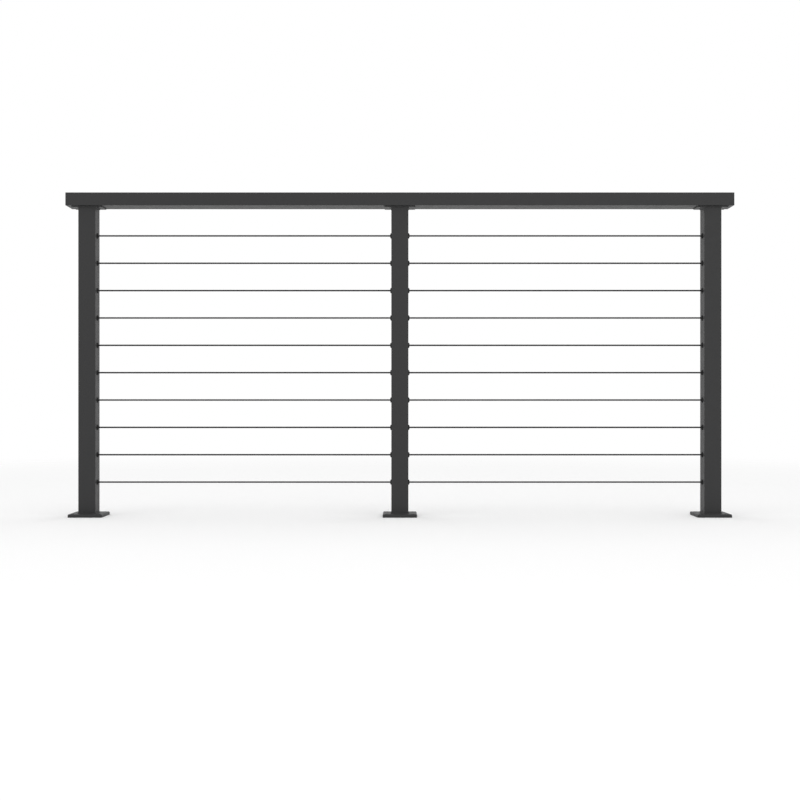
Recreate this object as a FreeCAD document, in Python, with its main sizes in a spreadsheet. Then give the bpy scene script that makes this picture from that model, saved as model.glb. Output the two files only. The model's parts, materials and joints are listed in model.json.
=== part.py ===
# Cable deck railing section: three square tube posts on bolted base plates carry a flat tube
# top rail, and ten taut cables run through the posts from one end post to the other.
# Units are millimetres. +Z is up, +X runs along the rail and +Y points away from the viewer.
# The origin is the centre of the middle base plate's underside, on the deck surface.
import FreeCAD, Part
import os
from enum import IntEnum

import Sketcher

PARTS_FOLDER = "parts"
SHEET_NAME = "sizes"

# Driving dimensions: alias, value and what it measures
DRIVING_DIMENSIONS = (
    ("post_spacing", 930.3, "between the centres of neighbouring posts"),
    ("post_size", 50.8, "outside of the square post tube"),
    ("post_wall", 3.0, "wall of the post tube"),
    ("post_length", 911.2, "post tube, from base plate to top plate"),
    ("post_edge_radius", 0.8, "rounding of the post tube's long edges"),
    ("base_margin", 25.4, "base plate beyond the post on each side"),
    ("base_thickness", 9.525, "base plate thickness"),
    ("base_corner_radius", 4.0, "base plate corners, seen from above"),
    ("base_edge_radius", 3.5, "rounding of the base plate's upper rim"),
    ("bolt_hole_diameter", 10.5, "deck fixing holes in the base plate"),
    ("top_plate_reach", 20.6, "top plate beyond the post along the rail"),
    ("top_plate_lip", 2.6, "top plate beyond the post across the rail"),
    ("top_plate_thickness", 3.2, "top plate thickness"),
    ("top_plate_corner_radius", 3.0, "top plate corners, seen from below"),
    ("top_plate_edge_radius", 0.5, "rounding of the top plate's lower rim"),
    ("screw_edge_distance", 12.0, "rail screw centre from the top plate's long edge"),
    ("screw_hole_diameter", 5.2, "rail screw holes in the top plate"),
    ("screw_countersink", 2.0, "width and depth of the screw countersink"),
    ("rail_overhang", 60.3, "rail end beyond the centre of the end post"),
    ("rail_width", 76.2, "top rail across, front to back"),
    ("rail_height", 38.1, "top rail depth"),
    ("rail_wall", 2.0, "wall of the rail tube"),
    ("rail_edge_radius", 1.2, "rounding of the rail's long edges"),
    ("cap_thickness", 3.0, "rail end cap's outer plate"),
    ("cap_edge_radius", 0.6, "rounding of the end cap's rim"),
    ("cap_plug_depth", 16.0, "end cap's plug inside the rail"),
    ("cap_plug_wall", 2.5, "wall of the end cap's plug"),
    ("cap_clearance", 0.2, "gap between the plug and the rail's inside"),
    ("cable_count", 10, "number of cables"),
    ("cable_diameter", 4.7625, "outside of the wire strand"),
    ("bottom_cable_height", 101.6, "lowest cable's centre above the deck"),
    ("top_cable_drop", 85.7, "highest cable's centre below the rail"),
    ("cable_end_reach", 1.0, "cable's end past the end post's outer face"),
    ("cable_clearance", 0.15, "gap between a cable and the bore it runs through"),
    ("dome_diameter", 16.0, "cable grommet's domed head"),
    ("dome_height", 3.6, "dome above the face of the post"),
    ("dome_rim_height", 0.6, "straight rim at the foot of the dome"),
    ("shank_diameter", 9.0, "grommet's shank through the post wall"),
    ("shank_reach", 2.0, "shank past the inside of the post wall"),
    ("shank_clearance", 0.15, "gap between the shank and its hole"),
)

# Heights above the deck and other sizes that follow from the driving dimensions
POST_BOTTOM = "sizes.base_thickness"
POST_TOP = f"({POST_BOTTOM} + sizes.post_length)"
RAIL_UNDERSIDE = f"({POST_TOP} + sizes.top_plate_thickness)"
RAIL_HALF_LENGTH = "(sizes.post_spacing + sizes.rail_overhang)"
RAIL_TUBE_END = f"({RAIL_HALF_LENGTH} - sizes.cap_thickness)"
BASE_SIZE = "(sizes.post_size + 2 * sizes.base_margin)"
BOLT_SPACING = "(sizes.post_size + sizes.base_margin)"
TOP_PLATE_LENGTH = "(sizes.post_size + 2 * sizes.top_plate_reach)"
TOP_PLATE_WIDTH = "(sizes.post_size + 2 * sizes.top_plate_lip)"
SCREW_SPACING_ALONG = "(sizes.post_size + sizes.top_plate_reach)"
SCREW_SPACING_ACROSS = f"({TOP_PLATE_WIDTH} - 2 * sizes.screw_edge_distance)"
CABLE_SPAN = f"({RAIL_UNDERSIDE} - sizes.top_cable_drop - sizes.bottom_cable_height)"
CABLE_SPACING = f"({CABLE_SPAN} / (sizes.cable_count - 1))"
CABLE_HALF_LENGTH = "(sizes.post_spacing + sizes.post_size / 2 + sizes.cable_end_reach)"
CABLE_HOLE_DIAMETER = "(sizes.shank_diameter + 2 * sizes.shank_clearance)"
CABLE_BORE_RADIUS = "(sizes.cable_diameter / 2 + sizes.cable_clearance)"
SHANK_LENGTH = "(sizes.post_wall + sizes.shank_reach)"
DOME_ROUNDING = "(sizes.dome_height - sizes.dome_rim_height)"

# Posts from left to right, each with its place along the rail in post spacings
POST_PLACES = (("left", -1), ("middle", 0), ("right", 1))

X_AXIS = FreeCAD.Vector(1, 0, 0)
Y_AXIS = FreeCAD.Vector(0, 1, 0)
Z_AXIS = FreeCAD.Vector(0, 0, 1)
NO_TURN = FreeCAD.Rotation()
HALF_TURN_ABOUT_Z = FreeCAD.Rotation(Z_AXIS, 180)
Z_TO_X = FreeCAD.Rotation(Y_AXIS, 90)
NEAR = 1e-4
# Sketches are drawn at about this size, and their driven dimensions then set the real one.
DRAFT_SIZE = 10.0


class Axis(IntEnum):
    """How a sketch numbers its own two axes."""

    HORIZONTAL = -1
    VERTICAL = -2


class Point(IntEnum):
    """How a sketch numbers the points of a line or a circle."""

    START = 1
    END = 2
    CENTRE = 3


ORIGIN_POINT = (Axis.HORIZONTAL, Point.START)
CORNER_SIGNS = ((-1, -1), (1, -1), (1, 1), (-1, 1))


def make_sheet(doc):
    """Spreadsheet with one aliased cell for each driving dimension."""
    sheet = doc.addObject("Spreadsheet::Sheet", SHEET_NAME)
    for row, (alias, value, meaning) in enumerate(DRIVING_DIMENSIONS, start=1):
        sheet.set(f"A{row}", alias)
        sheet.set(f"B{row}", str(value))
        sheet.setAlias(f"B{row}", alias)
        sheet.set(f"C{row}", meaning)
    doc.recompute()
    return sheet


def place(part, rotation=NO_TURN, along="0", height="0"):
    """Turns a sub-part and binds its place along the rail and above the deck."""
    part.Placement = FreeCAD.Placement(FreeCAD.Vector(), rotation)
    part.setExpression("Placement.Base.x", along)
    part.setExpression("Placement.Base.z", height)


def new_body(doc, label):
    """Empty body that takes the sub-part's name."""
    body = doc.addObject("PartDesign::Body", label)
    body.Label = label
    return body


def new_sketch(body, name, plane_role):
    """Sketch on one of the body's own origin planes."""
    planes = {plane.Role: plane for plane in body.Origin.OriginFeatures}
    sketch = body.newObject("Sketcher::SketchObject", name)
    sketch.AttachmentSupport = [(planes[plane_role], "")]
    sketch.MapMode = "FlatFace"
    return sketch


def drive(sketch, name, expression, *constraint):
    """Adds a named dimension to a sketch and binds it to an expression."""
    index = sketch.addConstraint(Sketcher.Constraint(*constraint))
    sketch.renameConstraint(index, name)
    sketch.setExpression(f"Constraints.{name}", expression)


def add_closed_lines(sketch, corners):
    """Lines from corner to corner and back to the first, joined at their ends."""
    lines = [
        sketch.addGeometry(Part.LineSegment(corner, corners[(i + 1) % len(corners)]))
        for i, corner in enumerate(corners)
    ]
    for i, line in enumerate(lines):
        ends = (line, Point.END, lines[(i + 1) % len(lines)], Point.START)
        sketch.addConstraint(Sketcher.Constraint("Coincident", *ends))
    return lines


def add_circle(sketch, centre):
    """Circle of the draft size."""
    return sketch.addGeometry(Part.Circle(centre, Z_AXIS, DRAFT_SIZE / 4))


def add_rectangle(sketch, name, width, height):
    """Rectangle centred on the sketch's origin, with driven width and height."""
    corners = [DRAFT_SIZE / 2 * FreeCAD.Vector(x, y) for x, y in CORNER_SIGNS]
    sides = add_closed_lines(sketch, corners)
    for i, side in enumerate(sides):
        sketch.addConstraint(Sketcher.Constraint("Vertical" if i % 2 else "Horizontal", side))
    bottom, right, top, _ = sides
    sketch.addConstraint(
        Sketcher.Constraint("Symmetric", bottom, Point.START, top, Point.START, *ORIGIN_POINT)
    )
    for kind, direction, size, side in (
        ("width", "DistanceX", width, bottom),
        ("height", "DistanceY", height, right),
    ):
        ends = (side, Point.START, side, Point.END)
        drive(sketch, f"{name}_{kind}", size, direction, *ends, DRAFT_SIZE)


def add_corner_circles(sketch, diameter, spacing_x, spacing_y):
    """Four equal circles at the corners of a centred rectangle."""
    first, beside, opposite, below = (
        add_circle(sketch, DRAFT_SIZE * FreeCAD.Vector(-x, -y)) for x, y in CORNER_SIGNS
    )
    for partner, mirror in (
        (beside, (Axis.VERTICAL,)),
        (opposite, ORIGIN_POINT),
        (below, (Axis.HORIZONTAL,)),
    ):
        centres = (first, Point.CENTRE, partner, Point.CENTRE)
        sketch.addConstraint(Sketcher.Constraint("Symmetric", *centres, *mirror))
        sketch.addConstraint(Sketcher.Constraint("Equal", first, partner))
    drive(sketch, "hole_diameter", diameter, "Diameter", first, DRAFT_SIZE / 2)
    for name, direction, spacing, partner in (
        ("spacing_x", "DistanceX", spacing_x, beside),
        ("spacing_y", "DistanceY", spacing_y, below),
    ):
        centres = (partner, Point.CENTRE, first, Point.CENTRE)
        drive(sketch, name, spacing, direction, *centres, 2 * DRAFT_SIZE)


def add_profile(sketch, points):
    """Closed outline of straight lines; each corner is a pair of driving expressions."""
    # A regular polygon stands in for the outline until the expressions move its corners.
    turn = 360 / len(points)
    draft = [
        FreeCAD.Rotation(Z_AXIS, i * turn).multVec(DRAFT_SIZE * X_AXIS) for i in range(len(points))
    ]
    lines = add_closed_lines(sketch, draft)
    for i, (across, up) in enumerate(points):
        corner = (*ORIGIN_POINT, lines[i], Point.START)
        drive(sketch, f"across_{i}", across, "DistanceX", *corner, draft[i].x)
        drive(sketch, f"up_{i}", up, "DistanceY", *corner, draft[i].y)


def pad(body, sketch, length, symmetric=False, backwards=False):
    """Pad of a sketch, with a driven length."""
    feature = body.newObject("PartDesign::Pad", f"{sketch.Name}_pad")
    feature.Profile = sketch
    feature.SideType = "Symmetric" if symmetric else "One side"
    feature.Reversed = backwards
    feature.setExpression("Length", length)
    body.Document.recompute()
    return feature


def cut_through(body, sketch):
    """Pocket of a sketch right through the body, both ways from its plane."""
    before = body.Shape.Volume
    feature = body.newObject("PartDesign::Pocket", f"{sketch.Name}_pocket")
    feature.Profile = sketch
    feature.Type = "ThroughAll"
    feature.SideType = "Symmetric"
    body.Document.recompute()
    if body.Shape.Volume >= before:
        raise RuntimeError(f"{feature.Name} removed nothing from {body.Label}")
    return feature


def dress_edges(body, kind, size_name, size, wanted):
    """Fillet or chamfer on those edges of the body's tip that pass a test."""
    tip = body.Tip
    names = [f"Edge{i}" for i, edge in enumerate(tip.Shape.Edges, start=1) if wanted(edge)]
    feature = body.newObject(f"PartDesign::{kind}", f"{tip.Name}_{kind.lower()}")
    feature.Base = (tip, names)
    feature.setExpression(size_name, size)
    body.Document.recompute()
    return feature


def repeat_upwards(body, sketch, feature, whole_body=False):
    """Repeats a feature at every cable height, from the lowest cable up."""
    pattern = body.newObject("PartDesign::LinearPattern", f"{feature.Name}_rows")
    if whole_body:
        pattern.TransformMode = "Whole shape"
    else:
        pattern.Originals = [feature]
    pattern.Direction = (sketch, ["V_Axis"])
    pattern.Mode = "Spacing"
    pattern.setExpression("Offset", CABLE_SPACING)
    pattern.setExpression("Occurrences", "sizes.cable_count")
    body.Tip = pattern
    body.Document.recompute()
    return pattern


def runs_along(edge, axis):
    """True for a straight edge parallel to an axis."""
    return isinstance(edge.Curve, Part.Line) and abs(abs(edge.Curve.Direction * axis) - 1) < NEAR


def lies_at(edge, axis, place_on_axis):
    """True for an edge that lies wholly in one plane square to an axis."""
    points = [vertex.Point for vertex in edge.Vertexes] + [edge.CenterOfMass]
    return all(abs(point * axis - place_on_axis) < NEAR for point in points)


def is_outer_long_edge(edge, axis, box):
    """True for an edge along the axis that lies on the corner of the body's box."""
    if not runs_along(edge, axis):
        return False
    middle = edge.CenterOfMass
    faces_met = 0
    for low, high, value, part_of_axis in (
        (box.XMin, box.XMax, middle.x, axis.x),
        (box.YMin, box.YMax, middle.y, axis.y),
        (box.ZMin, box.ZMax, middle.z, axis.z),
    ):
        if not part_of_axis and min(abs(value - low), abs(value - high)) < NEAR:
            faces_met += 1
    return faces_met == 2


def round_long_edges(body, axis, radius):
    """Rounds the four outer edges that run along the body."""
    box = body.Tip.Shape.BoundBox
    dress_edges(body, "Fillet", "Radius", radius, lambda e: is_outer_long_edge(e, axis, box))


def make_post(doc, label, along):
    """Square tube post, drilled on both sides for every cable."""
    body = new_body(doc, label)
    section = new_sketch(body, f"{label}_section", "XY_Plane")
    add_rectangle(section, "outside", "sizes.post_size", "sizes.post_size")
    inside = "(sizes.post_size - 2 * sizes.post_wall)"
    add_rectangle(section, "inside", inside, inside)
    pad(body, section, "sizes.post_length")
    round_long_edges(body, Z_AXIS, "sizes.post_edge_radius")
    hole = new_sketch(body, f"{label}_cable_hole", "YZ_Plane")
    circle = add_circle(hole, DRAFT_SIZE * Y_AXIS)
    hole.addConstraint(Sketcher.Constraint("PointOnObject", circle, Point.CENTRE, Axis.VERTICAL))
    height = f"sizes.bottom_cable_height - {POST_BOTTOM}"
    from_foot = (*ORIGIN_POINT, circle, Point.CENTRE)
    drive(hole, "hole_height", height, "DistanceY", *from_foot, DRAFT_SIZE)
    drive(hole, "hole_diameter", CABLE_HOLE_DIAMETER, "Diameter", circle, DRAFT_SIZE / 2)
    repeat_upwards(body, hole, cut_through(body, hole))
    place(body, along=along, height=POST_BOTTOM)
    return body


def make_base_plate(doc, label, along):
    """Square base plate with a fixing hole in each corner."""
    body = new_body(doc, label)
    outline = new_sketch(body, f"{label}_outline", "XY_Plane")
    add_rectangle(outline, "plate", BASE_SIZE, BASE_SIZE)
    pad(body, outline, "sizes.base_thickness")
    round_long_edges(body, Z_AXIS, "sizes.base_corner_radius")
    top = body.Tip.Shape.BoundBox.ZMax
    dress_edges(
        body, "Fillet", "Radius", "sizes.base_edge_radius", lambda e: lies_at(e, Z_AXIS, top)
    )
    holes = new_sketch(body, f"{label}_bolt_holes", "XY_Plane")
    add_corner_circles(holes, "sizes.bolt_hole_diameter", BOLT_SPACING, BOLT_SPACING)
    cut_through(body, holes)
    place(body, along=along)
    return body


def make_top_plate(doc, label, along):
    """Flat plate on top of a post, with countersunk holes for the screws into the rail."""
    body = new_body(doc, label)
    outline = new_sketch(body, f"{label}_outline", "XY_Plane")
    add_rectangle(outline, "plate", TOP_PLATE_LENGTH, TOP_PLATE_WIDTH)
    pad(body, outline, "sizes.top_plate_thickness")
    round_long_edges(body, Z_AXIS, "sizes.top_plate_corner_radius")
    dress_edges(
        body, "Fillet", "Radius", "sizes.top_plate_edge_radius", lambda e: lies_at(e, Z_AXIS, 0)
    )
    holes = new_sketch(body, f"{label}_screw_holes", "XY_Plane")
    add_corner_circles(
        holes, "sizes.screw_hole_diameter", SCREW_SPACING_ALONG, SCREW_SPACING_ACROSS
    )
    cut_through(body, holes)
    dress_edges(
        body,
        "Chamfer",
        "Size",
        "sizes.screw_countersink",
        lambda e: lies_at(e, Z_AXIS, 0) and e.Closed,
    )
    place(body, along=along, height=POST_TOP)
    return body


def make_rail(doc, label):
    """Rectangular tube that lies flat on the top plates."""
    body = new_body(doc, label)
    section = new_sketch(body, f"{label}_section", "YZ_Plane")
    add_rectangle(section, "outside", "sizes.rail_width", "sizes.rail_height")
    add_rectangle(
        section,
        "inside",
        "sizes.rail_width - 2 * sizes.rail_wall",
        "sizes.rail_height - 2 * sizes.rail_wall",
    )
    pad(body, section, f"2 * {RAIL_TUBE_END}", symmetric=True)
    round_long_edges(body, X_AXIS, "sizes.rail_edge_radius")
    place(body, height=f"{RAIL_UNDERSIDE} + sizes.rail_height / 2")
    return body


def make_rail_cap(doc, label, rotation, along):
    """End cap: an outer plate as large as the rail, and a hollow plug that fits inside it."""
    body = new_body(doc, label)
    plate = new_sketch(body, f"{label}_plate", "YZ_Plane")
    add_rectangle(plate, "plate", "sizes.rail_width", "sizes.rail_height")
    pad(body, plate, "sizes.cap_thickness")
    round_long_edges(body, X_AXIS, "sizes.rail_edge_radius")
    face = body.Tip.Shape.BoundBox.XMax
    dress_edges(
        body, "Fillet", "Radius", "sizes.cap_edge_radius", lambda e: lies_at(e, X_AXIS, face)
    )
    plug = new_sketch(body, f"{label}_plug", "YZ_Plane")
    inset = "2 * (sizes.rail_wall + sizes.cap_clearance)"
    walls = "2 * sizes.cap_plug_wall"
    add_rectangle(plug, "outside", f"sizes.rail_width - {inset}", f"sizes.rail_height - {inset}")
    add_rectangle(
        plug,
        "inside",
        f"sizes.rail_width - {inset} - {walls}",
        f"sizes.rail_height - {inset} - {walls}",
    )
    pad(body, plug, "sizes.cap_plug_depth", backwards=True)
    place(body, rotation, along, f"{RAIL_UNDERSIDE} + sizes.rail_height / 2")
    return body


def make_cable(doc, label, number):
    """One taut wire strand through all the posts; the lowest has number 0."""
    cable = doc.addObject("Part::Cylinder", label)
    cable.Label = label
    cable.setExpression("Radius", "sizes.cable_diameter / 2")
    cable.setExpression("Height", f"2 * {CABLE_HALF_LENGTH}")
    height = f"sizes.bottom_cable_height + {number} * {CABLE_SPACING}"
    place(cable, Z_TO_X, f"-{CABLE_HALF_LENGTH}", height)
    return cable


def make_domes(doc, label, outline, rotation, along):
    """Column of domed fittings on one face of a post, one for each cable."""
    body = new_body(doc, label)
    body.AllowCompound = True
    profile = new_sketch(body, f"{label}_profile", "XZ_Plane")
    add_profile(profile, outline)
    turned = body.newObject("PartDesign::Revolution", f"{label}_turned")
    turned.Profile = profile
    turned.ReferenceAxis = (profile, ["H_Axis"])
    doc.recompute()
    box = turned.Shape.BoundBox

    def is_dome_edge(edge):
        is_full_width = abs(edge.BoundBox.ZMax - box.ZMax) < NEAR
        return is_full_width and lies_at(edge, X_AXIS, box.XMax)

    rounded = dress_edges(body, "Fillet", "Radius", DOME_ROUNDING, is_dome_edge)
    repeat_upwards(body, profile, rounded, whole_body=True)
    place(body, rotation, along, "sizes.bottom_cable_height")
    return body


# Outlines of the domed fittings: distance out from the post's face, then radius
DOME_OUTSIDE = (
    ("sizes.dome_height", "sizes.dome_diameter / 2"),
    ("0", "sizes.dome_diameter / 2"),
    ("0", "sizes.shank_diameter / 2"),
    (f"-{SHANK_LENGTH}", "sizes.shank_diameter / 2"),
    (f"-{SHANK_LENGTH}", CABLE_BORE_RADIUS),
)
GROMMET_OUTLINE = (*DOME_OUTSIDE, ("sizes.dome_height", CABLE_BORE_RADIUS))
ANCHOR_BORE_END = "sizes.cable_end_reach + sizes.cable_clearance"
ANCHOR_OUTLINE = (
    *DOME_OUTSIDE,
    (ANCHOR_BORE_END, CABLE_BORE_RADIUS),
    (ANCHOR_BORE_END, "0"),
    ("sizes.dome_height", "0"),
)


def make_parts(doc, sheet):
    """Every sub-part of the railing, in the order in which it is put together."""
    parts = []
    for side, places in POST_PLACES:
        along = f"{places} * sizes.post_spacing"
        parts.append(make_base_plate(doc, f"base_plate_{side}", along))
        parts.append(make_post(doc, f"post_{side}", along))
        parts.append(make_top_plate(doc, f"top_plate_{side}", along))
    parts.append(make_rail(doc, "top_rail"))
    parts.append(make_rail_cap(doc, "rail_cap_left", HALF_TURN_ABOUT_Z, f"-{RAIL_TUBE_END}"))
    parts.append(make_rail_cap(doc, "rail_cap_right", NO_TURN, RAIL_TUBE_END))
    for number in range(int(sheet.get("cable_count"))):
        parts.append(make_cable(doc, f"cable_{number + 1:02d}", number))
    inner_face = "(sizes.post_spacing - sizes.post_size / 2)"
    outer_face = "(sizes.post_spacing + sizes.post_size / 2)"
    middle_face = "sizes.post_size / 2"
    for label, outline, rotation, along in (
        ("grommets_left_post", GROMMET_OUTLINE, NO_TURN, f"-{inner_face}"),
        ("grommets_middle_post_left", GROMMET_OUTLINE, HALF_TURN_ABOUT_Z, f"-{middle_face}"),
        ("grommets_middle_post_right", GROMMET_OUTLINE, NO_TURN, middle_face),
        ("grommets_right_post", GROMMET_OUTLINE, HALF_TURN_ABOUT_Z, inner_face),
        ("cable_anchors_left", ANCHOR_OUTLINE, HALF_TURN_ABOUT_Z, f"-{outer_face}"),
        ("cable_anchors_right", ANCHOR_OUTLINE, NO_TURN, outer_face),
    ):
        parts.append(make_domes(doc, label, outline, rotation, along))
    doc.recompute()
    return parts


def check(doc, parts):
    """Stops with a message if any object failed or any sub-part isn't a valid solid."""
    for item in doc.Objects:
        if {"Invalid", "Error"} & set(item.State):
            raise RuntimeError(f"{item.Label} failed: {item.State}")
    for part in parts:
        if part.Shape.isNull() or not part.Shape.isValid() or not part.Shape.Solids:
            raise RuntimeError(f"{part.Label} is not a valid solid")


def write(parts):
    """Writes each sub-part to its own STEP file and prints its size."""
    os.makedirs(PARTS_FOLDER, exist_ok=True)
    for part in parts:
        part.Shape.exportStep(f"{PARTS_FOLDER}/{part.Label}.step")
        box = part.Shape.BoundBox
        print(
            f"{part.Label}: {len(part.Shape.Solids)} solids, {part.Shape.Volume:.0f} mm3, "
            f"x {box.XMin:.2f} to {box.XMax:.2f}, y {box.YMin:.2f} to {box.YMax:.2f}, "
            f"z {box.ZMin:.2f} to {box.ZMax:.2f}"
        )


def main():
    """Builds the railing, checks it and writes its parts."""
    doc = FreeCAD.newDocument("cable_deck_railing")
    sheet = make_sheet(doc)
    parts = make_parts(doc, sheet)
    check(doc, parts)
    write(parts)


main()
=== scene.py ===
"""Looks of the cable deck railing section.

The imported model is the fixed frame. This script gives every node its finish and puts finer meshes in the
place of three kinds of node: twisted wire strands for the plain cable rods, turned domes for the grommets
and anchors, and moulded caps for the rail's ends. It adds the weld beads and the rail screws, and sets up
a plain studio with its camera.

Lengths are in metres. +Z is up, +X runs along the rail and +Y points away from the camera.
"""

import json
import logging
import math
from collections.abc import Iterable, Sequence
from dataclasses import dataclass
from enum import Enum

import bmesh
import bpy
import numpy as np
from mathutils import Matrix, Vector

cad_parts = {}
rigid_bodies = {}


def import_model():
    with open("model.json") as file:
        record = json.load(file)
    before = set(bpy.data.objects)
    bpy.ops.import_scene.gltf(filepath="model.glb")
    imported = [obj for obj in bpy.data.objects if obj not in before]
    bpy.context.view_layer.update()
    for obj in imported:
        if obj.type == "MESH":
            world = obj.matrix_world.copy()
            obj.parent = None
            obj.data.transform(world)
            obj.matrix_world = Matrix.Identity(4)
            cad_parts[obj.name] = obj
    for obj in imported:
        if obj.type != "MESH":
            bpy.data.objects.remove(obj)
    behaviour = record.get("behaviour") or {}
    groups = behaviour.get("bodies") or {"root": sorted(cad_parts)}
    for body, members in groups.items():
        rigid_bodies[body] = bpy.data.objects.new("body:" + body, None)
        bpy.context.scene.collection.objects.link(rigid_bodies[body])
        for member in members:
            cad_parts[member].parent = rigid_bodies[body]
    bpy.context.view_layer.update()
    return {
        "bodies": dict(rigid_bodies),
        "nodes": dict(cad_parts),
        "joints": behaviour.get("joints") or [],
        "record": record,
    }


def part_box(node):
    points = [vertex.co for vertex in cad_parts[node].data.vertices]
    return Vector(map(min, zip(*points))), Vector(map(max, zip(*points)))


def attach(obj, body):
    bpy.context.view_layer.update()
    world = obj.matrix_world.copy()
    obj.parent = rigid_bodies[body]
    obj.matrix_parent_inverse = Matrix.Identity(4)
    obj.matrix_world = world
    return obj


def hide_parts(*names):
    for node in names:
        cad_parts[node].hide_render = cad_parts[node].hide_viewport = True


LOG = logging.getLogger("railing")
BODY = "root"
CABLE_COUNT = 10
CABLES = tuple(f"cable_{number:02d}" for number in range(1, CABLE_COUNT + 1))
QUARTERS = 4
QUARTER_TURN = math.tau / QUARTERS
MILLIMETRES_IN_METRE = 1000

# Edges that bend more than this stay sharp
CREASE = math.radians(50)

Colour = tuple[float, float, float]
Place = tuple[float, float, float]


class Slot(Enum):
    """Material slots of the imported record."""

    POWDER_COAT = "powder_coat"
    CAP_PLASTIC = "cap_plastic"
    BLACK_WIRE = "black_wire"
    GROMMET_PLASTIC = "grommet_plastic"
    SCREW_STEEL = "screw_steel"


class Post(Enum):
    """The three posts, by the name that their nodes end in."""

    LEFT = "left"
    MIDDLE = "middle"
    RIGHT = "right"


class PostEnd(Enum):
    """The two welded ends of a post, with the way in which the weld climbs the post."""

    FOOT = 1
    HEAD = -1


class Facing(Enum):
    """The two ways along the rail."""

    LEFT = -1
    RIGHT = 1

    def outermost(self, low: Vector, high: Vector) -> float:
        """Where a box between two corners ends on this side, along the rail."""
        return high.x if self is Facing.RIGHT else low.x


class NodeGraph:
    """A node tree with short calls to add nodes and join their sockets.

    Attributes:
        NOISE_LOW: lowest value that a noise usually has.
        NOISE_HIGH: highest value that it usually has.
    """

    NOISE_LOW = 0.3
    NOISE_HIGH = 0.7

    def __init__(self, tree: bpy.types.NodeTree) -> None:
        """Takes over a tree and empties it."""
        self.tree = tree
        tree.nodes.clear()

    def add(
        self, kind: str, values: dict[str, object] | None = None, **settings: object
    ) -> bpy.types.Node:
        """Adds a node.

        Args:
            kind: the node's type, without the ShaderNode in front.
            values: values of its input sockets, by name.
            settings: values of its own properties.

        Returns:
            The new node.
        """
        node = self.tree.nodes.new(f"ShaderNode{kind}")
        for name, value in settings.items():
            setattr(node, name, value)
        for name, value in (values or {}).items():
            node.inputs[name].default_value = value
        return node

    def join(self, source: bpy.types.NodeSocket, target: bpy.types.NodeSocket) -> None:
        """Joins an output socket to an input socket."""
        self.tree.links.new(source, target)

    def noise(
        self, place: bpy.types.NodeSocket, grain: float, detail: float = 2.0
    ) -> bpy.types.NodeSocket:
        """Adds a noise whose patches have a given size.

        Args:
            place: where the noise is read, in metres.
            grain: size of its patches, in metres.
            detail: how many finer layers it has.

        Returns:
            The noise's value, from 0 to 1.
        """
        node = self.add("TexNoise", {"Scale": 1 / grain, "Detail": detail})
        self.join(place, node.inputs["Vector"])
        return node.outputs["Fac"]

    def ranged(self, value: bpy.types.NodeSocket, low: float, high: float) -> bpy.types.NodeSocket:
        """Spreads a noise value over a range.

        Args:
            value: a noise from 0 to 1, which stays near its middle.
            low: result at the noise's usual lowest value.
            high: result at the noise's usual highest value.

        Returns:
            The spread value.
        """
        limits = {"From Min": self.NOISE_LOW, "From Max": self.NOISE_HIGH, "To Min": low, "To Max": high}
        node = self.add("MapRange", limits)
        self.join(value, node.inputs["Value"])
        return node.outputs["Result"]


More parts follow.
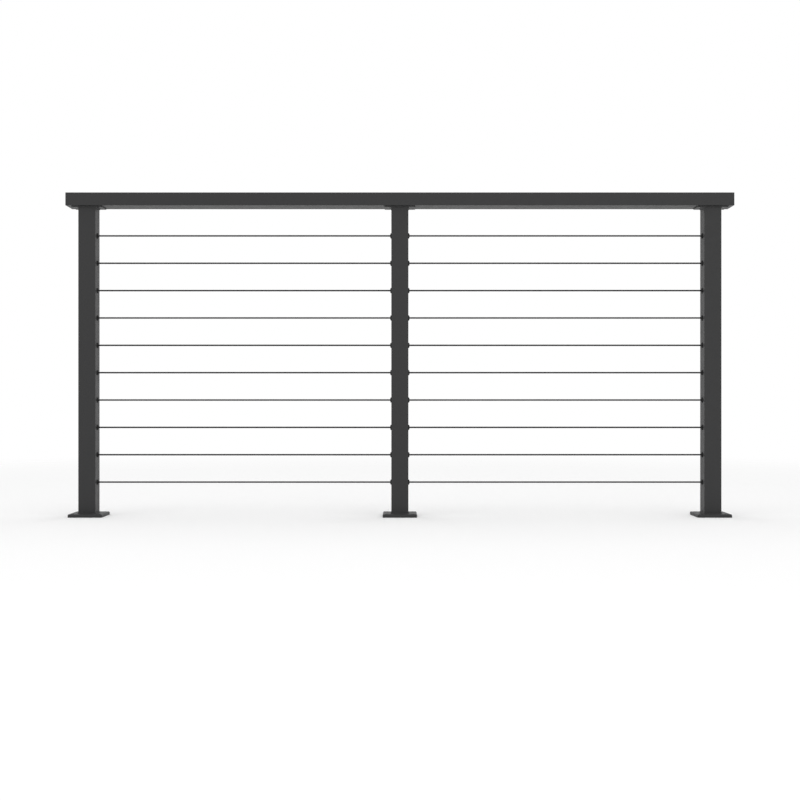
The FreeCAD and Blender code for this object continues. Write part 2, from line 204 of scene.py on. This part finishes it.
@dataclass(frozen=True)
class Finish:
    """A surface finish with mottled colour, uneven gloss and fine relief.

    Attributes:
        slot: the record's material slot.
        dark: darkest colour of the mottle.
        light: lightest colour of the mottle.
        mottle: size of the mottle's patches.
        polished: lowest roughness.
        dull: highest roughness.
        gloss_grain: size of the patches of even gloss.
        relief_grains: sizes of the bumps, coarse to fine.
        relief_depths: depth of each of them.
        mottle_detail: how many finer layers the mottle has.
        stretch: how much longer the patches are along the rail than across it.
        specular: strength of the reflection seen square on.
        metallic: 1 for bare metal and 0 for a coating.
    """

    slot: Slot
    dark: Colour
    light: Colour
    mottle: float
    polished: float
    dull: float
    gloss_grain: float
    relief_grains: Sequence[float]
    relief_depths: Sequence[float]
    mottle_detail: float = 4.0
    stretch: float = 1.0
    specular: float = 0.5
    metallic: float = 0.0

    def build(self) -> bpy.types.Material:
        """Makes the finish's material.

        Returns:
            A material that takes its pattern from the place on the object.
        """
        material = bpy.data.materials.new(f"{self.slot.value}_finish")
        material.use_nodes = True
        graph = NodeGraph(material.node_tree)
        constants = {"Specular IOR Level": self.specular, "Metallic": self.metallic}
        shader = graph.add("BsdfPrincipled", constants)
        output = graph.add("OutputMaterial")
        graph.join(shader.outputs["BSDF"], output.inputs["Surface"])
        place = self._place(graph)
        graph.join(self._colour(graph, place), shader.inputs["Base Color"])
        gloss = graph.ranged(graph.noise(place, self.gloss_grain), self.polished, self.dull)
        graph.join(gloss, shader.inputs["Roughness"])
        graph.join(self._relief(graph, place), shader.inputs["Normal"])
        return material

    def _place(self, graph: NodeGraph) -> bpy.types.NodeSocket:
        """Adds the place on the object, with the finish's stretch along the rail.

        Args:
            graph: the material's nodes.

        Returns:
            The place's socket.
        """
        place = graph.add("TexCoord").outputs["Object"]
        mapping = graph.add("Mapping", {"Scale": (1 / self.stretch, 1.0, 1.0)})
        graph.join(place, mapping.inputs["Vector"])
        return mapping.outputs["Vector"]

    def _colour(self, graph: NodeGraph, place: bpy.types.NodeSocket) -> bpy.types.NodeSocket:
        """Adds the mottled colour.

        Args:
            graph: the material's nodes.
            place: where the pattern is read.

        Returns:
            The colour's socket.
        """
        ramp = graph.add("ValToRGB")
        low, high = ramp.color_ramp.elements
        low.color = (*self.dark, 1.0)
        high.color = (*self.light, 1.0)
        mottle = graph.ranged(graph.noise(place, self.mottle, self.mottle_detail), 0.0, 1.0)
        graph.join(mottle, ramp.inputs["Fac"])
        return ramp.outputs["Color"]

    def _relief(self, graph: NodeGraph, place: bpy.types.NodeSocket) -> bpy.types.NodeSocket:
        """Adds one bump on another, coarse to fine.

        Args:
            graph: the material's nodes.
            place: where the pattern is read.

        Returns:
            The bumped normal's socket.
        """
        bump = None
        for grain, depth in zip(self.relief_grains, self.relief_depths):
            previous = bump
            bump = graph.add("Bump", {"Strength": 1.0, "Distance": depth})
            graph.join(graph.noise(place, grain), bump.inputs["Height"])
            if previous:
                graph.join(previous.outputs["Normal"], bump.inputs["Normal"])
        return bump.outputs["Normal"]


POWDER_COAT = Finish(
    slot=Slot.POWDER_COAT,
    dark=(0.0275, 0.0275, 0.028),
    light=(0.0385, 0.0385, 0.039),
    mottle=0.0012,
    polished=0.44,
    dull=0.50,
    gloss_grain=0.02,
    relief_grains=(0.003, 0.0009),
    relief_depths=(1.5e-5, 5.0e-5),
    specular=0.15,
)
CAP_PLASTIC = Finish(
    slot=Slot.CAP_PLASTIC,
    dark=(0.025, 0.025, 0.0255),
    light=(0.0285, 0.0285, 0.029),
    mottle=0.03,
    polished=0.58,
    dull=0.66,
    gloss_grain=0.01,
    relief_grains=(0.0005,),
    relief_depths=(6.0e-6,),
    specular=0.25,
)
BLACK_WIRE = Finish(
    slot=Slot.BLACK_WIRE,
    dark=(0.010, 0.010, 0.0105),
    light=(0.022, 0.022, 0.023),
    mottle=0.0012,
    polished=0.42,
    dull=0.58,
    gloss_grain=0.004,
    relief_grains=(0.0003,),
    relief_depths=(4.0e-6,),
    stretch=12.0,
    specular=0.25,
    metallic=0.2,
)
GROMMET_PLASTIC = Finish(
    slot=Slot.GROMMET_PLASTIC,
    dark=(0.005, 0.005, 0.005),
    light=(0.008, 0.008, 0.008),
    mottle=0.004,
    polished=0.50,
    dull=0.62,
    gloss_grain=0.003,
    relief_grains=(0.0004,),
    relief_depths=(1.0e-5,),
    specular=0.2,
)
SCREW_STEEL = Finish(
    slot=Slot.SCREW_STEEL,
    dark=(0.020, 0.020, 0.021),
    light=(0.040, 0.040, 0.041),
    mottle=0.002,
    polished=0.30,
    dull=0.42,
    gloss_grain=0.001,
    relief_grains=(0.0003,),
    relief_depths=(6.0e-6,),
    metallic=0.6,
)
FINISHES = (POWDER_COAT, CAP_PLASTIC, BLACK_WIRE, GROMMET_PLASTIC, SCREW_STEEL)


class Palette:
    """The finished materials, made once and handed out by slot."""

    def __init__(self) -> None:
        """Makes every finish's material."""
        self.materials = {finish.slot: finish.build() for finish in FINISHES}

    def dress(self, piece: bpy.types.Object, slot: Slot) -> None:
        """Gives a new piece the finish of one of the record's slots."""
        piece.data.materials.append(self.materials[slot])

    def dress_node(self, node: bpy.types.Object, slot: Slot) -> None:
        """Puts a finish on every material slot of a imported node."""
        for material_slot in node.material_slots:
            material_slot.material = self.materials[slot]


def turn_outwards(mesh: bpy.types.Mesh) -> None:
    """Turns a closed mesh's faces so that they look outwards.

    Args:
        mesh: the mesh to change.
    """
    shell = bmesh.new()
    shell.from_mesh(mesh)
    bmesh.ops.recalc_face_normals(shell, faces=shell.faces)
    shell.to_mesh(mesh)
    shell.free()


def loft(
    name: str, rings: np.ndarray, joined_up: bool, crease: float | None = None
) -> bpy.types.Mesh:
    """Joins rings of points into one skin.

    Args:
        name: the mesh's name.
        rings: points by ring, by place on the ring and by axis.
        joined_up: True where the last ring meets the first. Otherwise a fan closes each end.
        crease: angle in radians above which an edge stays sharp, or None where all of it is smooth.

    Returns:
        The mesh, with its faces outwards.
    """
    ring_count, around, _ = rings.shape
    points = [tuple(point) for point in rings.reshape(-1, 3)]
    faces = []
    for ring in range(ring_count if joined_up else ring_count - 1):
        here = ring * around
        there = (ring + 1) % ring_count * around
        for step in range(around):
            after = (step + 1) % around
            faces.append((here + step, here + after, there + after, there + step))
    if not joined_up:
        for end in (0, ring_count - 1):
            centre = len(points)
            points.append(tuple(rings[end].mean(axis=0)))
            first = end * around
            faces += [(first + step, first + (step + 1) % around, centre) for step in range(around)]
    mesh = bpy.data.meshes.new(name)
    mesh.from_pydata(points, [], faces)
    turn_outwards(mesh)
    mesh.polygons.foreach_set("use_smooth", [True] * len(mesh.polygons))
    if crease is not None:
        mesh.set_sharp_from_angle(angle=crease)
    return mesh


def joined_copies(name: str, mesh: bpy.types.Mesh, places: Iterable[Vector]) -> bpy.types.Mesh:
    """Joins copies of a mesh, each moved to a place of its own.

    Args:
        name: the new mesh's name.
        mesh: the mesh to copy, which is then removed.
        places: where the copies go.

    Returns:
        One mesh with all the copies.
    """
    shell = bmesh.new()
    for place in places:
        copy = mesh.copy()
        copy.transform(Matrix.Translation(place))
        shell.from_mesh(copy)
        bpy.data.meshes.remove(copy)
    bpy.data.meshes.remove(mesh)
    joined = bpy.data.meshes.new(name)
    shell.to_mesh(joined)
    shell.free()
    return joined


def even_angles(count: int, start: float = 0.0) -> np.ndarray:
    """Evenly spaced angles of one whole turn, from a share of the first step on."""
    return (np.arange(count) + start) * math.tau / count


def quarter_turned(plan: np.ndarray) -> np.ndarray:
    """Points or directions in plan, a quarter turn further round."""
    return np.column_stack((-plan[:, 1], plan[:, 0]))


def turned(profile: Sequence[tuple[float | np.ndarray, float]], sides: int) -> np.ndarray:
    """Turns a profile round the Z axis.

    Args:
        profile: radius and height of each ring. A radius may be one number or one for each point.
        sides: points on each ring.

    Returns:
        Points by ring, by place on the ring and by axis.
    """
    angles = even_angles(sides)
    rings = np.empty((len(profile), sides, 3))
    for ring, (radius, height) in zip(rings, profile):
        ring[:, 0] = radius * np.cos(angles)
        ring[:, 1] = radius * np.sin(angles)
        ring[:, 2] = height
    return rings


def add_piece(name: str, mesh: bpy.types.Mesh) -> bpy.types.Object:
    """Puts a mesh into the scene.

    Args:
        name: the object's name.
        mesh: its mesh, which other objects may share.

    Returns:
        The new object, at the origin.
    """
    piece = bpy.data.objects.new(name, mesh)
    bpy.context.scene.collection.objects.link(piece)
    return piece


def centre_of(node: str) -> Vector:
    """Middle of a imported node's box."""
    low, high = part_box(node)
    return (low + high) / 2


def cable_radius() -> float:
    """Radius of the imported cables, which are all alike."""
    low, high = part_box(CABLES[0])
    return (high.z - low.z) / 2


class Framework:
    """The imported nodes. Posts, plates and rail show as they are, and finer pieces stand for the others."""

    def __init__(self, frame: dict) -> None:
        """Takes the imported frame."""
        self.nodes = frame["nodes"]
        self.slots = {row["node"]: Slot(row["material_slot"]) for row in frame["record"]["subparts"]}

    def dress(self, palette: Palette) -> list[bpy.types.Object]:
        """Gives every node the finish that the record names for it.

        Args:
            palette: the finishes.

        Returns:
            The dressed nodes.
        """
        for name, node in self.nodes.items():
            palette.dress_node(node, self.slots[name])
        return list(self.nodes.values())


@dataclass
class WireStrand:
    """The twisted strands of all the cables: a layer of wires wound round a core.

    Attributes:
        wires: wires in the outer layer.
        lay: length in which a wire goes once round.
        steps: rings in that length.
        points: points on the outline of a wire.
    """

    wires: int = 12
    lay: float = 0.05
    steps: int = 12
    points: int = 4

    def build(self, palette: Palette) -> list[bpy.types.Object]:
        """Lays a strand in the place of each cable, each turned a little further than the one below.

        Args:
            palette: the finishes.

        Returns:
            The strands, lowest first.
        """
        mesh = self._mesh()
        mesh.materials.append(palette.materials[Slot.BLACK_WIRE])
        strands = []
        for number, node in enumerate(CABLES):
            strand = add_piece(f"{node}_strand", mesh)
            strand.location = centre_of(node)
            strand.rotation_euler.x = number * math.tau / len(CABLES)
            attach(strand, BODY)
            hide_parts(node)
            strands.append(strand)
        return strands

    def _mesh(self) -> bpy.types.Mesh:
        """Winds one strand, as long as a cable, round the X axis and centred on the origin.

        Returns:
            The strand's mesh.
        """
        low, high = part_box(CABLES[0])
        length = high.x - low.x
        outline = self._outline(cable_radius())
        turns = length / self.lay
        ring_count = round(turns * self.steps) + 1
        twist = np.linspace(0, math.tau * turns, ring_count)[:, None]
        angles = outline[:, 0] + twist
        rings = np.empty((ring_count, len(outline), 3))
        rings[:, :, 0] = np.linspace(-length / 2, length / 2, ring_count)[:, None]
        rings[:, :, 1] = outline[:, 1] * np.cos(angles)
        rings[:, :, 2] = outline[:, 1] * np.sin(angles)
        return loft("wire_strand", rings, joined_up=False)

    def _outline(self, radius: float) -> np.ndarray:
        """Outline of the outer wires, side by side in a circle.

        Args:
            radius: the strand's own radius.

        Returns:
            Angle and distance from the middle, for each point.
        """
        half_share = math.pi / self.wires
        wire = radius * math.sin(half_share) / (1 + math.sin(half_share))
        pitch = radius - wire
        angles = even_angles(self.wires * self.points, start=0.5)
        off_crown = (angles % (2 * half_share)) - half_share
        under_root = np.maximum(wire**2 - (pitch * np.sin(off_crown)) ** 2, 0)
        return np.column_stack((angles, pitch * np.cos(off_crown) + np.sqrt(under_root)))


@dataclass
class DomeRow:
    """A row of domed fittings up one face of a post, one on each cable.

    Attributes:
        node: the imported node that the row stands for.
        facing: the way that the domes point.
        bored: True for grommets that the cables go through, and False for closed anchors.
        radius: radius of a dome.
        height: height of a dome over the post's face.
        rim: height of its straight rim.
        seat: bevel of the rim where it meets the post.
        shank: radius of the shank in the post's hole.
        reach: length of that shank.
        clearance: gap between the cable and the bore.
        mouth: rounding of the bore's mouth.
        around: points round a dome.
        crown: points from the top of a dome down to its rim.
        mouth_points: points on the rounding of the bore's mouth.
    """

    node: str
    facing: Facing
    bored: bool
    radius: float = 0.008
    height: float = 0.0036
    rim: float = 0.0006
    seat: float = 0.0002
    shank: float = 0.0045
    reach: float = 0.002
    clearance: float = 0.00015
    mouth: float = 0.0005
    around: int = 40
    crown: int = 10
    mouth_points: int = 5

    def build(self, palette: Palette) -> bpy.types.Object:
        """Sets a dome on the post at every cable.

        Args:
            palette: the finishes.

        Returns:
            The row of domes, as one piece.
        """
        face = self.facing.outermost(*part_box(self.node)) - self.facing.value * self.height
        places = [Vector((face, *centre_of(cable).yz)) for cable in CABLES]
        dome = loft("dome", self._rings(), joined_up=self.bored, crease=CREASE)
        name = f"{self.node}_domes"
        row = add_piece(name, joined_copies(name, dome, places))
        palette.dress(row, Slot.GROMMET_PLASTIC)
        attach(row, BODY)
        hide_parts(self.node)
        return row

    def _rings(self) -> np.ndarray:
        """Turns the outline of a dome round the X axis.

        Returns:
            Points by ring, by place on the ring and by axis.
        """
        outline = self._outline(cable_radius() + self.clearance)
        upright = turned([(radius, self.facing.value * height) for radius, height in outline], self.around)
        return np.roll(upright, 1, axis=2)

    def _outline(self, bore: float) -> list[tuple[float, float]]:
        """Outline of a dome, from its top to the end of its shank and back up through a grommet's bore.

        Args:
            bore: radius of the bore.

        Returns:
            Radius and height over the post's face, for each point.
        """
        inner = bore + self.mouth if self.bored else 0.0
        outline = []
        for angle in np.linspace(0, QUARTER_TURN, self.crown):
            radius = inner + (self.radius - inner) * math.sin(angle)
            outline.append((radius, self.rim + (self.height - self.rim) * math.cos(angle)))
        outline.append((self.radius, self.seat))
        outline.append((self.radius - self.seat, 0.0))
        outline.append((self.shank, 0.0))
        outline.append((self.shank, -self.reach))
        if not self.bored:
            return outline[1:]
        outline.append((bore, -self.reach))
        for angle in np.linspace(0, QUARTER_TURN, self.mouth_points)[:-1]:
            radius = inner - self.mouth * math.cos(angle)
            outline.append((radius, self.height - self.mouth * (1 - math.sin(angle))))
        return outline


DOME_ROWS = (
    DomeRow("cable_anchors_left", Facing.LEFT, bored=False),
    DomeRow("grommets_left_post", Facing.RIGHT, bored=True),
    DomeRow("grommets_middle_post_left", Facing.LEFT, bored=True),
    DomeRow("grommets_middle_post_right", Facing.RIGHT, bored=True),
    DomeRow("grommets_right_post", Facing.LEFT, bored=True),
    DomeRow("cable_anchors_right", Facing.RIGHT, bored=False),
)


@dataclass
class RailCap:
    """The moulded cap that closes an end of the rail, with its plug inside.

    Attributes:
        facing: which end of the rail.
        thickness: how far the cap stands out from the rail.
        corner: rounding of the rail's long edges.
        least_corner: least rounding of a section's corners.
        seam: rounding of the cap's edge against the rail.
        edge: rounding of its outer edge.
        plug_inset: how far the plug lies in from the outline.
        border: width of the even border round the outer face.
        points: points on each rounding.
    """

    facing: Facing
    thickness: float = 0.003
    corner: float = 0.0012
    least_corner: float = 0.0005
    seam: float = 0.0005
    edge: float = 0.0006
    plug_inset: float = 0.0022
    border: float = 0.0006
    points: int = 6

    def build(self, palette: Palette) -> bpy.types.Object:
        """Moulds the cap in the place of its node.

        Args:
            palette: the finishes.

        Returns:
            The cap.
        """
        node = f"rail_cap_{self.facing.name.lower()}"
        low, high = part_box(node)
        half = (high - low) / 2
        sections = self._sections(high.x - low.x - self.thickness)
        rings = np.array([self._ring(half, along, inset) for along, inset in sections])
        cap = add_piece(f"{node}_moulding", loft(node, rings, joined_up=False, crease=CREASE))
        cap.location = centre_of(node)
        cap.location.x = self.facing.outermost(low, high) - self.facing.value * self.thickness
        palette.dress(cap, Slot.CAP_PLASTIC)
        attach(cap, BODY)
        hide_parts(node)
        return cap

    def _sections(self, plug_depth: float) -> list[tuple[float, float]]:
        """Sections from the end of the plug to the outer face.

        Args:
            plug_depth: how deep the plug goes into the rail.

        Returns:
            Distance out from the seam and inset from the rail's outline, for each section.
        """
        sections = [(-plug_depth, self.plug_inset), (0.0, self.plug_inset)]
        angles = np.linspace(0, QUARTER_TURN, self.points)
        for angle in angles:
            sections.append((self.seam * (1 - math.cos(angle)), self.seam * (1 - math.sin(angle))))
        edge_start = self.thickness - self.edge
        for angle in angles:
            sections.append((edge_start + self.edge * math.sin(angle), self.edge * (1 - math.cos(angle))))
        sections.append((self.thickness, self.edge + self.border))
        return sections

    def _ring(self, half: Vector, along: float, inset: float) -> np.ndarray:
        """Outline of one section, a rectangle with rounded corners.

        Args:
            half: half of the cap's size.
            along: distance out from the seam.
            inset: distance in from the rail's outline.

        Returns:
            The outline's points.
        """
        corner = max(self.corner - inset, self.least_corner)
        centre = np.array((half.y, half.z)) - inset - corner
        points = []
        for quadrant, signs in enumerate(((1, 1), (-1, 1), (-1, -1), (1, -1))):
            angles = np.linspace(0, QUARTER_TURN, self.points) + quadrant * QUARTER_TURN
            points.append(centre * signs + corner * np.column_stack((np.cos(angles), np.sin(angles))))
        outline = np.vstack(points)
        return np.column_stack((np.full(len(outline), self.facing.value * along), outline))


@dataclass
class PostWelds:
    """The weld beads where a post meets its base plate and its top plate.

    Attributes:
        post: which post.
        corner: rounding of the post's long edges.
        foot_leg: how far the lower bead reaches on the post and on the plate.
        head_leg: the same for the upper bead.
        ripple: distance between two ripples.
        ripple_depth: share of the bead's fullness that a ripple takes away.
        lead: how far a ripple runs ahead in the middle of the bead, in ripples.
        skew: how much steeper one side of a ripple is.
        fullness: how far the bead's face bulges, as a share of its leg.
        waver: how much the leg varies on the way round, as a share of it.
        long_waves: slow swings of the leg on the way round.
        short_waves: quick swings on top of them.
        wave_shift: angle in radians by which the quick swings are shifted.
        samples: sections on each ripple.
        face_points: points across the bead's face.
    """

    post: Post
    corner: float = 0.0008
    foot_leg: float = 0.0026
    head_leg: float = 0.002
    ripple: float = 0.0021
    ripple_depth: float = 0.55
    lead: float = 0.5
    skew: float = 0.6
    fullness: float = 0.2
    waver: float = 0.07
    long_waves: int = 5
    short_waves: int = 13
    wave_shift: float = 1.0
    samples: int = 8
    face_points: int = 8

    def build(self, palette: Palette) -> list[bpy.types.Object]:
        """Lays both beads round the post.

        Args:
            palette: the finishes.

        Returns:
            The beads, at the foot and at the head.
        """
        node = f"post_{self.post.value}"
        low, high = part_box(node)
        ends = ((PostEnd.FOOT, low.z, self.foot_leg), (PostEnd.HEAD, high.z, self.head_leg))
        beads = []
        for end, height, leg in ends:
            name = f"weld_{self.post.value}_{end.name.lower()}"
            rings = self._sections((high.x - low.x) / 2, leg, end)
            bead = add_piece(name, loft(name, rings, joined_up=True, crease=CREASE))
            bead.location = centre_of(node)
            bead.location.z = height
            palette.dress(bead, Slot.POWDER_COAT)
            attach(bead, BODY)
            beads.append(bead)
        return beads

    def _sections(self, half: float, leg: float, end: PostEnd) -> np.ndarray:
        """Sections of a bead, all the way round the post.

        Args:
            half: half of the post's width.
            leg: how far the bead reaches.
            end: foot or head, which sets the way it climbs.

        Returns:
            Points by section, by place on the section and by axis.
        """
        stations, normals = self._path(half, leg)
        count = len(stations)
        share = np.linspace(0, 1, self.face_points)
        hump = np.sin(math.pi * share)
        phase = math.tau * (np.arange(count)[:, None] / self.samples - self.lead * hump)
        dip = 0.5 - 0.5 * np.cos(phase + self.skew * np.sin(phase))
        bulge = self.fullness * hump * (1 - self.ripple_depth * dip)
        turn = even_angles(count)
        waves = np.sin(self.long_waves * turn) + np.sin(self.short_waves * turn + self.wave_shift)
        legs = leg * (1 + self.waver * waves / 2)[:, None]
        root = np.zeros((count, 1))
        reach = np.hstack((legs * (1 - share + bulge), root))
        climb = np.hstack((legs * (share + bulge), root))
        plan = stations[:, None] + normals[:, None] * reach[:, :, None]
        return np.dstack((plan, end.value * climb))

    def _path(self, half: float, leg: float) -> tuple[np.ndarray, np.ndarray]:
        """Stations round the post's outline, evenly spaced along the middle of the bead.

        Args:
            half: half of the post's width.
            leg: how far the bead reaches.

        Returns:
            The stations and their outward directions, in plan.
        """
        straight = 2 * (half - self.corner)
        bend = self.corner + leg / 2
        quarter = straight + bend * QUARTER_TURN
        count = round(quarter / self.ripple) * self.samples
        distance = np.arange(count) * quarter / count
        along = np.minimum(distance, straight) - straight / 2
        turned_by = np.maximum(distance - straight, 0) / bend
        normal = np.column_stack((np.sin(turned_by), -np.cos(turned_by)))
        point = np.column_stack((along, np.full(count, self.corner - half))) + self.corner * normal
        stations = []
        normals = []
        for _ in range(QUARTERS):
            stations.append(point)
            normals.append(normal)
            point = quarter_turned(point)
            normal = quarter_turned(normal)
        return np.vstack(stations), np.vstack(normals)


@dataclass
class RailScrews:
    """The four countersunk screws that hold a top plate to the rail, seen from below.

    Attributes:
        post: which post's top plate.
        spacing_along: distance between the screws along the rail.
        spacing_across: distance between them across the rail.
        head: radius of the head.
        shank: radius of the shank.
        head_depth: depth of the head's cone.
        sunk: how far the head lies below the plate's face.
        socket: half of the socket's width across its flats.
        socket_sides: flats of the socket.
        socket_depth: depth of the socket.
        bevel: bevel of the head's rim and of the socket's.
        sides: points round the screw, a multiple of the socket's flats.
        crease: angle above which an edge stays sharp, low enough for the bevels' edges.
    """

    post: Post
    spacing_along: float = 0.0714
    spacing_across: float = 0.032
    head: float = 0.0044
    shank: float = 0.0025
    head_depth: float = 0.0019
    sunk: float = 0.00015
    socket: float = 0.0015
    socket_sides: int = 6
    socket_depth: float = 0.0013
    bevel: float = 0.0002
    sides: int = 36
    crease: float = math.radians(30)

    def build(self, palette: Palette) -> bpy.types.Object:
        """Seats the screws in the plate's countersinks, as one piece.

        Args:
            palette: the finishes.

        Returns:
            The four screws.
        """
        plate = f"top_plate_{self.post.value}"
        low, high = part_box(plate)
        middle = centre_of(plate)
        places = []
        for along in (-self.spacing_along / 2, self.spacing_along / 2):
            for across in (-self.spacing_across / 2, self.spacing_across / 2):
                places.append(Vector((middle.x + along, middle.y + across, low.z)))
        screw = loft("rail_screw", self._rings(high.z - low.z), joined_up=False, crease=self.crease)
        name = f"rail_screws_{self.post.value}"
        piece = add_piece(name, joined_copies(name, screw, places))
        palette.dress(piece, Slot.SCREW_STEEL)
        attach(piece, BODY)
        return piece

    def _rings(self, thickness: float) -> np.ndarray:
        """Outline of a screw, from the floor of its socket over the head to the end of its shank.

        Args:
            thickness: thickness of the plate.

        Returns:
            Points by ring, by place on the ring and by axis.
        """
        half_share = math.pi / self.socket_sides
        off_flat = (even_angles(self.sides) % (2 * half_share)) - half_share
        hexagon = self.socket / np.cos(off_flat)
        profile = (
            (hexagon, self.sunk + self.socket_depth),
            (hexagon, self.sunk + self.bevel),
            (hexagon + self.bevel, self.sunk),
            (self.head - self.bevel, self.sunk),
            (self.head, self.sunk + self.bevel),
            (self.shank, self.sunk + self.head_depth),
            (self.shank, thickness - self.sunk),
        )
        return turned(profile, self.sides)


def looking_at(place: Place, target: Place) -> Sequence[float]:
    """Euler angles with which something at a place looks at a target."""
    return (Vector(target) - Vector(place)).to_track_quat("-Z", "Y").to_euler()


@dataclass(frozen=True)
class Lamp:
    """A soft square lamp that the camera doesn't see.

    Attributes:
        name: its name.
        place: where it stands.
        aim: the point it shines at.
        size: length of its side.
        power: its power in watts.
    """

    name: str
    place: Place
    aim: Place
    size: float
    power: float

    def build(self) -> bpy.types.Object:
        """Hangs the lamp.

        Returns:
            The lamp's object.
        """
        light = bpy.data.lights.new(self.name, "AREA")
        light.size = self.size
        light.energy = self.power
        lamp = bpy.data.objects.new(self.name, light)
        lamp.location = self.place
        lamp.rotation_euler = looking_at(self.place, self.aim)
        lamp.visible_camera = False
        bpy.context.scene.collection.objects.link(lamp)
        return lamp


@dataclass
class Studio:
    """A plain pale floor, soft light, a white surround and the camera.

    Attributes:
        eye: the camera's place.
        focal_pixels: the camera's focal length, in pixels of the image.
        image_pixels: the image's width.
        ambient: light from the surround.
        seen: strength of the surround to the camera and in reflections, where 1 is white.
        surround_colour: the surround's colour.
        floor_colour: the floor's colour.
        floor_radius: where the floor has faded out.
        floor_clear: where it starts to fade.
        floor_gap: how far it lies under the base plates.
        floor_sides: points round its rim.
        lamps: the lamps.
    """

    eye: Place = (0.0004, -3.582, 0.3472)
    focal_pixels: float = 1197.0
    image_pixels: float = 800.0
    ambient: float = 0.85
    seen: float = 1.0
    surround_colour: Colour = (1.0, 1.0, 1.0)
    floor_colour: Colour = (0.92, 0.92, 0.92)
    floor_radius: float = 4.5
    floor_clear: float = 1.3
    floor_gap: float = 0.0002
    floor_sides: int = 96
    lamps: Sequence[Lamp] = (
        Lamp("key_lamp", place=(1.6, -5.2, 1.6), aim=(0.0, 0.0, 0.4), size=3.0, power=47.0),
        Lamp("fill_lamp", place=(-3.6, -4.0, 1.6), aim=(0.0, 0.0, 0.4), size=3.0, power=28.0),
        Lamp("top_lamp", place=(0.0, 0.4, 4.5), aim=(0.0, 0.0, 0.0), size=4.0, power=45.0),
    )

    def build(self) -> None:
        """Sets up the floor, the light and the camera."""
        scene = bpy.context.scene
        scene.view_settings.view_transform = "Standard"
        scene.world = self._surround()
        self._floor()
        for lamp in self.lamps:
            lamp.build()
        scene.camera = self._camera()

    def _camera(self) -> bpy.types.Object:
        """Sets the level camera.

        Returns:
            The camera's object.
        """
        lens = bpy.data.cameras.new("camera")
        lens.lens = lens.sensor_width * self.focal_pixels / self.image_pixels
        camera = bpy.data.objects.new("camera", lens)
        camera.location = self.eye
        camera.rotation_euler = (QUARTER_TURN, 0.0, 0.0)
        bpy.context.scene.collection.objects.link(camera)
        return camera

    def _surround(self) -> bpy.types.World:
        """Makes a surround that looks white and lights the object evenly.

        Returns:
            The world.
        """
        world = bpy.data.worlds.new("surround")
        world.use_nodes = True
        graph = NodeGraph(world.node_tree)
        path = graph.add("LightPath")
        seen = path.outputs["Is Camera Ray"]
        for other in ("Is Glossy Ray", "Is Transmission Ray"):
            either = graph.add("Math", operation="MAXIMUM")
            graph.join(seen, either.inputs[0])
            graph.join(path.outputs[other], either.inputs[1])
            seen = either.outputs[0]
        strength = graph.add("MapRange", {"To Min": self.ambient, "To Max": self.seen})
        graph.join(seen, strength.inputs["Value"])
        background = graph.add("Background", {"Color": (*self.surround_colour, 1.0)})
        graph.join(strength.outputs["Result"], background.inputs["Strength"])
        output = graph.add("OutputWorld")
        graph.join(background.outputs["Background"], output.inputs["Surface"])
        return world

    def _floor(self) -> bpy.types.Object:
        """Lays a round floor that fades into the surround.

        Returns:
            The floor's object.
        """
        shell = bmesh.new()
        bmesh.ops.create_circle(shell, cap_ends=True, segments=self.floor_sides, radius=self.floor_radius)
        mesh = bpy.data.meshes.new("floor")
        shell.to_mesh(mesh)
        shell.free()
        floor = add_piece("floor", mesh)
        floor.location.z = -self.floor_gap
        mesh.materials.append(self._floor_finish())
        return floor

    def _floor_finish(self) -> bpy.types.Material:
        """Makes the floor's matt finish, see-through towards its rim.

        Returns:
            The floor's material.
        """
        material = bpy.data.materials.new("floor_finish")
        material.use_nodes = True
        graph = NodeGraph(material.node_tree)
        matt = graph.add("BsdfDiffuse", {"Color": (*self.floor_colour, 1.0)})
        clear = graph.add("BsdfTransparent")
        distance = graph.add("VectorMath", operation="LENGTH")
        graph.join(graph.add("TexCoord").outputs["Object"], distance.inputs[0])
        limits = {"From Min": self.floor_clear, "From Max": self.floor_radius}
        fade = graph.add("MapRange", limits, interpolation_type="SMOOTHSTEP")
        graph.join(distance.outputs["Value"], fade.inputs["Value"])
        mix = graph.add("MixShader")
        graph.join(fade.outputs["Result"], mix.inputs[0])
        graph.join(matt.outputs["BSDF"], mix.inputs[1])
        graph.join(clear.outputs["BSDF"], mix.inputs[2])
        output = graph.add("OutputMaterial")
        graph.join(mix.outputs["Shader"], output.inputs["Surface"])
        return material


def report(pieces: Sequence[bpy.types.Object]) -> None:
    """Logs each piece and its size in millimetres.

    Args:
        pieces: finished objects.
    """
    bpy.context.view_layer.update()
    for piece in pieces:
        size = " x ".join(f"{MILLIMETRES_IN_METRE * side:.1f}" for side in piece.dimensions)
        LOG.info("%s: %s mm, %d faces", piece.name, size, len(piece.data.polygons))


def main() -> None:
    """Builds the railing's looks, piece by piece, and then the studio round it."""
    logging.basicConfig(level=logging.INFO, format="%(name)s: %(message)s")
    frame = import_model()
    palette = Palette()
    report(Framework(frame).dress(palette))
    report(WireStrand().build(palette))
    report([row.build(palette) for row in DOME_ROWS])
    report([RailCap(facing).build(palette) for facing in Facing])
    for post in Post:
        report(PostWelds(post).build(palette))
        report([RailScrews(post).build(palette)])
    Studio().build()


if __name__ == "__main__":
    main()
